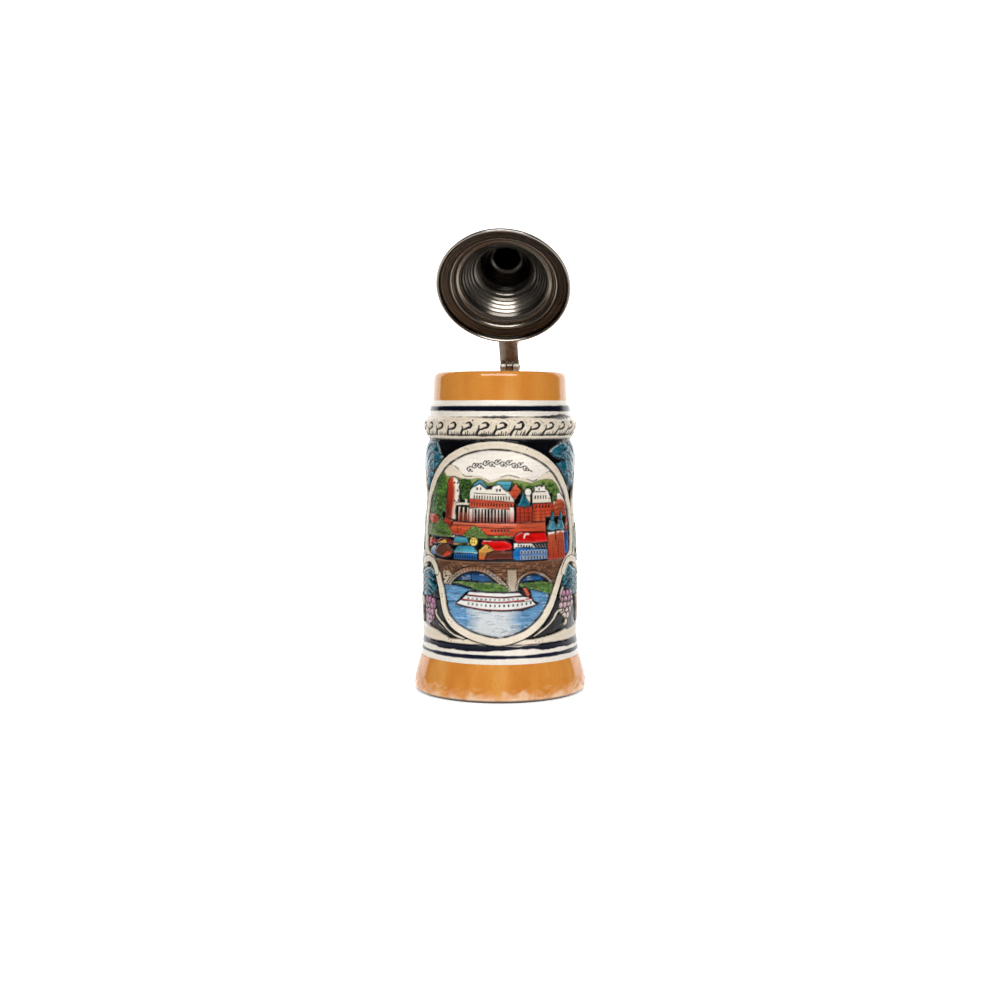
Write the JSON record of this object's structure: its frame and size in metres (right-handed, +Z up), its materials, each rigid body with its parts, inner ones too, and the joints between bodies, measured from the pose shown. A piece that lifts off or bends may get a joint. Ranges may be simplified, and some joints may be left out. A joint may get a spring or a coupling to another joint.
{
  "type": "beer stein",
  "caption": "Ceramic drinking stein with a relief-decorated cylindrical body, an ear-shaped handle and a hinged conical pewter lid with thumblift.",
  "frame": {"origin": "centre of the mug's flat underside, on the mug's axis", "axes": "+Z up along the mug's axis, +Y towards the handle and the hinge, +X along the hinge pin"},
  "size_m": [0.0894, 0.1309, 0.2444],
  "materials": {
    "glazed_ceramic": "gloss",
    "handle_glaze": "gloss",
    "cast_pewter": "satin",
    "pewter": "satin",
    "steel_pin": "satin"
  },
  "bodies": {
    "stein": {"mug_body": "glazed_ceramic", "handle": "handle_glaze", "handle_collar": "cast_pewter", "hinge_bracket": "cast_pewter", "hinge_pin": "steel_pin"},
    "lid": {"lid_strap": "cast_pewter", "thumblift": "cast_pewter", "lid_shell": "pewter", "finial": "cast_pewter"}
  },
  "joints": [
    {"name": "lid_hinge", "type": "hinge", "parent": "stein", "child": "lid", "pos_m": [0, 0.0574, 0.1692], "axis": [-1, 0, 0], "range_deg": [-50.8, 52]}
  ]
}
